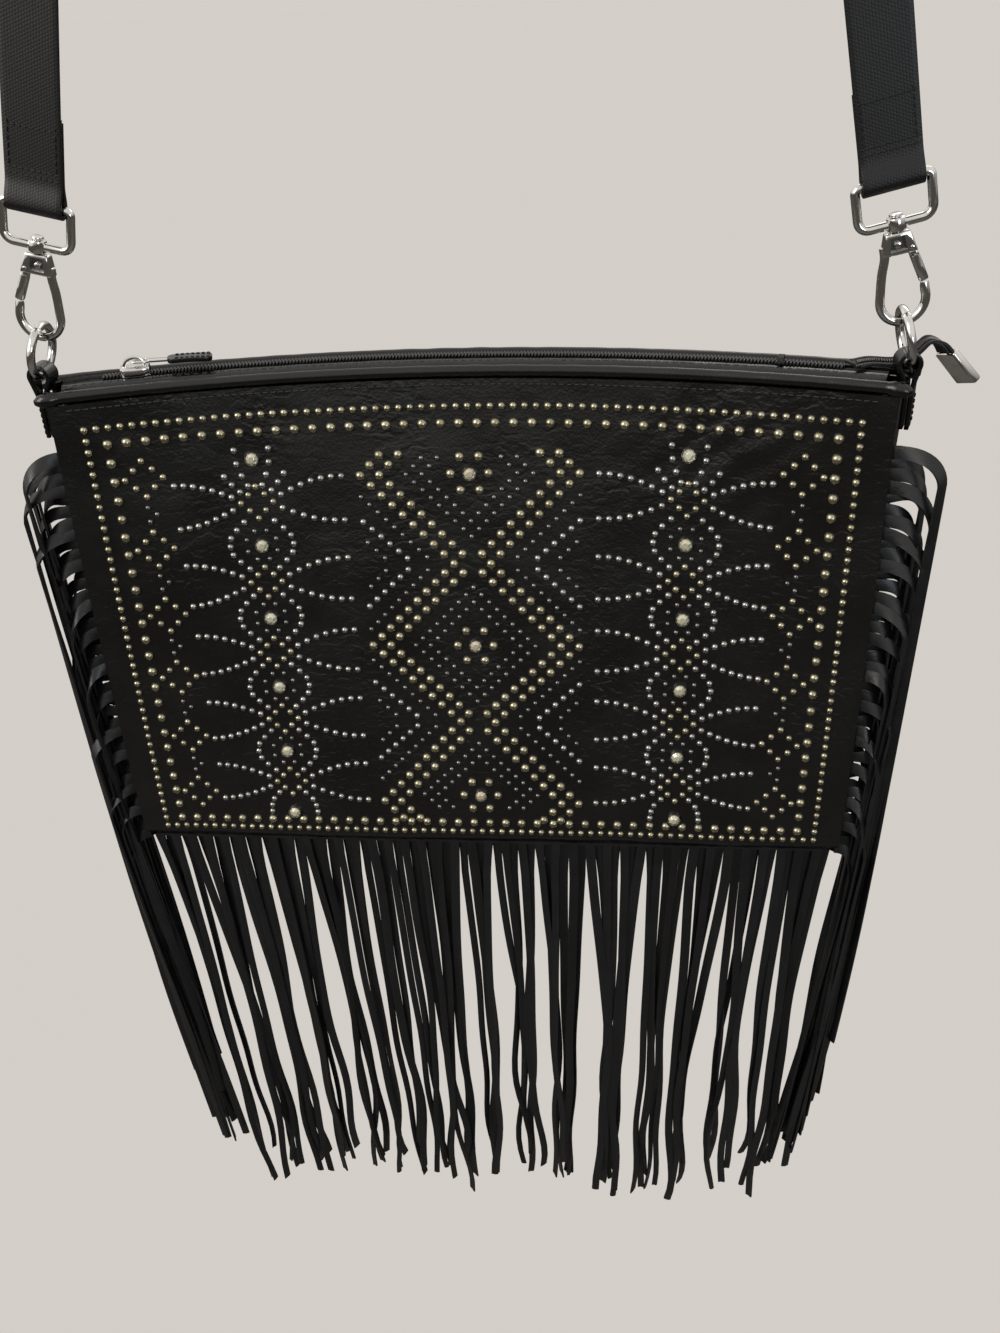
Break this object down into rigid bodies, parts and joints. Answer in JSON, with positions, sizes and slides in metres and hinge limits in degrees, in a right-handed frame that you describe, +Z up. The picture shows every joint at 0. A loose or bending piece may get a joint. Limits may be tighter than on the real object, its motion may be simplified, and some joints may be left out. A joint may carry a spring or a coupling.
{
  "type": "fringed crossbody bag",
  "caption": "Slim black crossbody bag with a studded front, long leather fringe at its sides and bottom, a top zip, and a webbing strap on swivel snap hooks.",
  "frame": {"origin": "underside of the strap's webbing at the top of its loop, where a peg holds it", "axes": "+Z up as it hangs, the studded front faces -Y, +X to the right seen from the front"},
  "size_m": [0.3564, 0.0665, 1.0666],
  "materials": {
    "black_leather": "pebbled, satin",
    "fringe_leather": "smooth, soft satin",
    "black_webbing": "woven, satin",
    "zip_tape": "woven tape",
    "zip_chain": "coil",
    "nickel": "polished nickel"
  },
  "bodies": {
    "strap": {"strap": "black_webbing"},
    "left_eye": {"left_eye": "nickel"},
    "left_hook": {"left_hook": "nickel", "left_gate_pin": "nickel"},
    "left_gate": {"left_gate": "nickel"},
    "left_ring": {"left_ring": "nickel"},
    "right_eye": {"right_eye": "nickel"},
    "right_hook": {"right_hook": "nickel", "right_gate_pin": "nickel"},
    "right_gate": {"right_gate": "nickel"},
    "right_ring": {"right_ring": "nickel"},
    "zip_slider": {"zip_slider": "nickel"},
    "zip_pull": {"zip_pull": "nickel", "zip_pull_tab": "black_leather"},
    "bag": {"back_facing": "black_leather", "back_fringe": "fringe_leather", "back_panel": "black_leather", "back_piping": "black_leather", "back_zip_tape": "zip_tape", "front_facing": "black_leather", "front_fringe": "fringe_leather", "front_panel": "black_leather", "front_piping": "black_leather", "front_zip_tape": "zip_tape", "gusset": "black_leather", "left_fringe": "fringe_leather", "left_tab": "black_leather", "right_fringe": "fringe_leather", "right_tab": "black_leather", "zip_chain": "zip_chain", "zip_end_clip": "nickel", "zip_stop": "zip_tape", "zip_tail": "zip_tape"}
  },
  "joints": [
    {"name": "left_eye_swing", "type": "hinge", "parent": "strap", "child": "left_eye", "pos_m": [-0.13956, 0, -0.53892], "axis": [0.9724, 0, -0.2334], "range_deg": [-1.5, 1.5]},
    {"name": "left_hook_swivel", "type": "hinge", "parent": "left_eye", "child": "left_hook", "pos_m": [-0.14267, 0, -0.55185], "axis": [0.2334, 0, 0.9724], "range_deg": [-30, 30]},
    {"name": "left_gate_open", "type": "hinge", "parent": "left_hook", "child": "left_gate", "pos_m": [-0.1483, 0, -0.55863], "axis": [0, -1, 0], "range_deg": [0, 18], "stiffness_Nm_per_rad": 0.004, "springref_deg": -20.05},
    {"name": "right_eye_swing", "type": "hinge", "parent": "strap", "child": "right_eye", "pos_m": [0.13956, 0, -0.53892], "axis": [0.9724, 0, 0.2334], "range_deg": [-1.5, 1.5]},
    {"name": "right_hook_swivel", "type": "hinge", "parent": "right_eye", "child": "right_hook", "pos_m": [0.14267, 0, -0.55185], "axis": [-0.2334, 0, 0.9724], "range_deg": [-30, 30]},
    {"name": "right_gate_open", "type": "hinge", "parent": "right_hook", "child": "right_gate", "pos_m": [0.1483, 0, -0.55863], "axis": [0, 1, 0], "range_deg": [0, 18], "stiffness_Nm_per_rad": 0.004, "springref_deg": -20.05},
    {"name": "bag_swing", "type": "hinge", "parent": "strap", "child": "bag", "pos_m": [0, 0, -0.58268], "axis": [1, 0, 0], "range_deg": [-30, 30]},
    {"name": "left_ring_tilt", "type": "hinge", "parent": "bag", "child": "left_ring", "pos_m": [-0.15338, 0, -0.59649], "axis": [0, 1, 0], "range_deg": [-4, 4]},
    {"name": "right_ring_tilt", "type": "hinge", "parent": "bag", "child": "right_ring", "pos_m": [0.15338, 0, -0.59649], "axis": [0, 1, 0], "range_deg": [-4, 4]},
    {"name": "zip_travel", "type": "hinge", "parent": "bag", "child": "zip_slider", "pos_m": [0, -0.42744, -0.60024], "axis": [0, 0, -1], "range_deg": [0, 29.2]},
    {"name": "zip_pull_flip", "type": "hinge", "parent": "zip_slider", "child": "zip_pull", "pos_m": [-0.12273, 0.01052, -0.59534], "axis": [0.2698, -0.9629, 0], "range_deg": [0, 120]}
  ]
}
